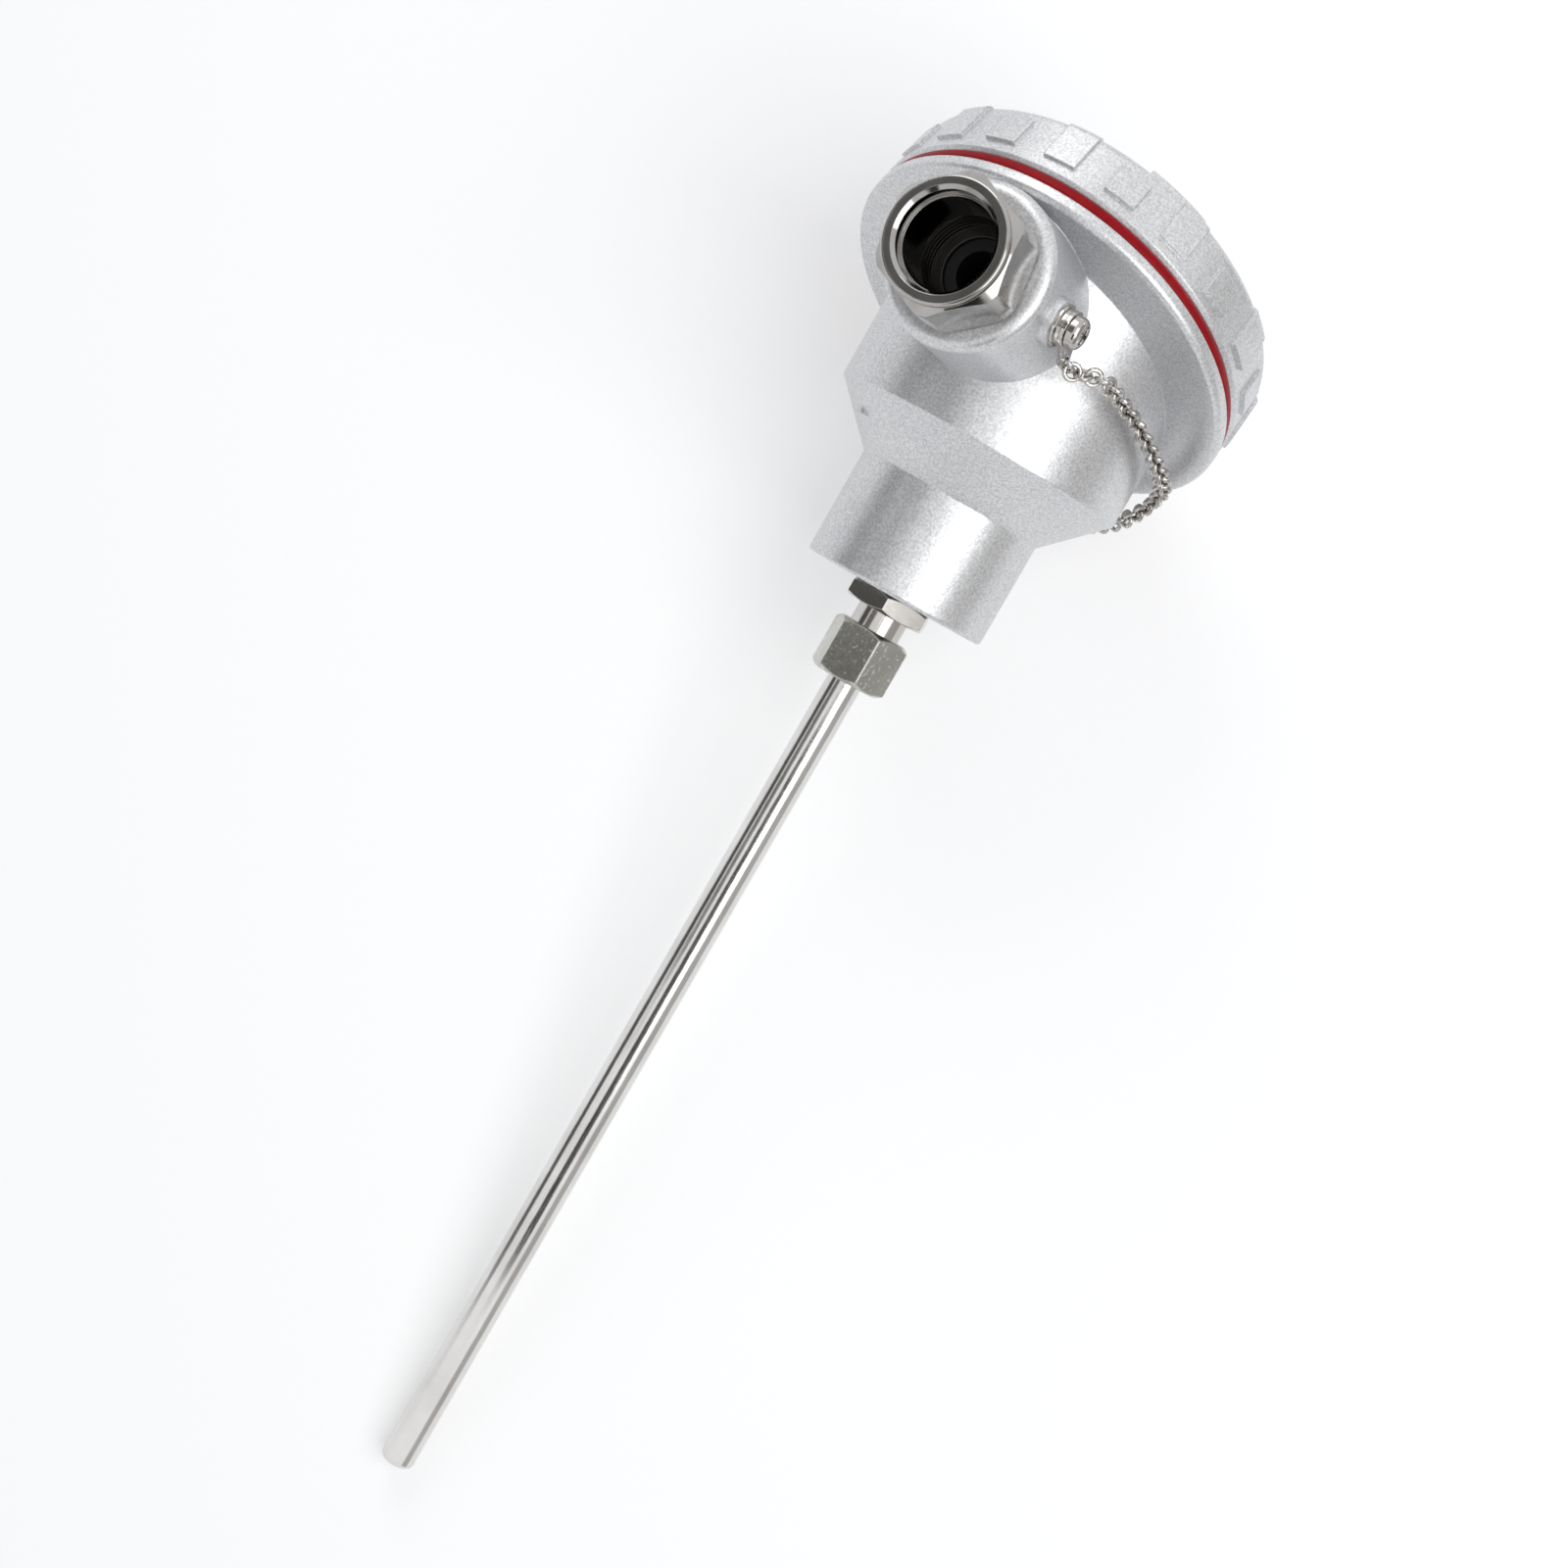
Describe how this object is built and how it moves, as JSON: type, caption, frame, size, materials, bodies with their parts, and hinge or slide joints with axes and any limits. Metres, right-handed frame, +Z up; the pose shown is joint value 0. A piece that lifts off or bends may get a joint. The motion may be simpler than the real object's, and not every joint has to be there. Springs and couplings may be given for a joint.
{
  "type": "temperature transmitter",
  "caption": "Temperature transmitter: a thin metal stem on a cast head with a tilted screw lid on a chain and a side cable entry.",
  "frame": {"origin": "on the stem's axis, at the lower face of the compression nut, where the free stem begins", "axes": "+Z up along the stem from its tip to the head, -Y out of the cable entry, +X completes a right-handed frame; the lid leans towards +Y"},
  "size_m": [0.0938, 0.1189, 0.3269],
  "materials": {
    "stainless_stem": "bright drawn stainless steel",
    "stainless_nut": "bright machined stainless steel",
    "stainless_fitting": "machined stainless steel, darker hexagon faces",
    "cast_paint": "die-cast, fine-grained matt silver-grey paint",
    "red_rubber": "glossy deep red rubber",
    "nickel": "bright nickel plating on brass",
    "chain_nickel": "bright nickel-plated steel",
    "black_rubber": "matt black rubber",
    "unit_plastic": "dark moulded plastic",
    "terminal_brass": "nickel-plated brass",
    "screw_steel": "zinc-plated steel",
    "ceramic": "white ceramic",
    "powder": "packed white mineral powder",
    "potting": "dark epoxy",
    "wire_red": "red insulation",
    "wire_white": "white insulation"
  },
  "bodies": {
    "head": {"head_body": "cast_paint", "lid_seal": "red_rubber", "gland_grommet": "black_rubber", "fitting_body": "stainless_fitting", "front_ferrule": "stainless_nut", "stem_sheath": "stainless_stem", "sensing_element": "ceramic", "insulation_powder": "powder", "potting_plug": "potting", "lead_wires_red": "wire_red", "lead_wire_white": "wire_white", "transmitter_puck": "unit_plastic", "puck_screws": "screw_steel", "terminal_clamps": "terminal_brass", "terminal_screws": "screw_steel", "earth_clamp": "terminal_brass", "earth_screw": "screw_steel", "chain_screw": "chain_nickel", "chain_flat_washer": "chain_nickel", "chain_spring_washer": "chain_nickel", "chain_eyelet": "chain_nickel", "chain_links": "chain_nickel"},
    "lid_carrier": {"cap_eyelet": "chain_nickel"},
    "lid": {"cap": "cast_paint", "cap_chain_screw": "chain_nickel"},
    "gland_carrier": {"gland_washer": "nickel"},
    "gland": {"gland_nut": "nickel"},
    "nut_carrier": {"back_ferrule": "stainless_nut"},
    "nut": {"compression_nut": "stainless_nut"}
  },
  "joints": [
    {"name": "lid_lift", "type": "slide", "parent": "head", "child": "lid_carrier", "axis": [0, 0.4462, 0.8949], "range_m": [0, 0.008], "deforming": ["chain_links"]},
    {"name": "lid_turn", "type": "hinge", "parent": "lid_carrier", "child": "lid", "pos_m": [0, -0.0024, 0.0895], "axis": [0, 0.4462, 0.8949], "range_deg": [0, 1440]},
    {"name": "gland_slide", "type": "slide", "parent": "head", "child": "gland_carrier", "axis": [0, -1, 0], "range_m": [0, 0.006]},
    {"name": "gland_turn", "type": "hinge", "parent": "gland_carrier", "child": "gland", "pos_m": [0, -0.06, 0.0854], "axis": [0, -1, 0], "range_deg": [0, 1440]},
    {"name": "nut_slide", "type": "slide", "parent": "head", "child": "nut_carrier", "axis": [0, 0, -1], "range_m": [0, 0.005]},
    {"name": "nut_turn", "type": "hinge", "parent": "nut_carrier", "child": "nut", "pos_m": [0, 0, 0], "axis": [0, 0, -1], "range_deg": [0, 1800]}
  ],
  "couplings": [
    {"joint": "lid_lift", "follows": "lid_turn", "m_per_rad": 0.0003183},
    {"joint": "gland_slide", "follows": "gland_turn", "m_per_rad": 0.0002387},
    {"joint": "nut_slide", "follows": "nut_turn", "m_per_rad": 0.00015915}
  ]
}
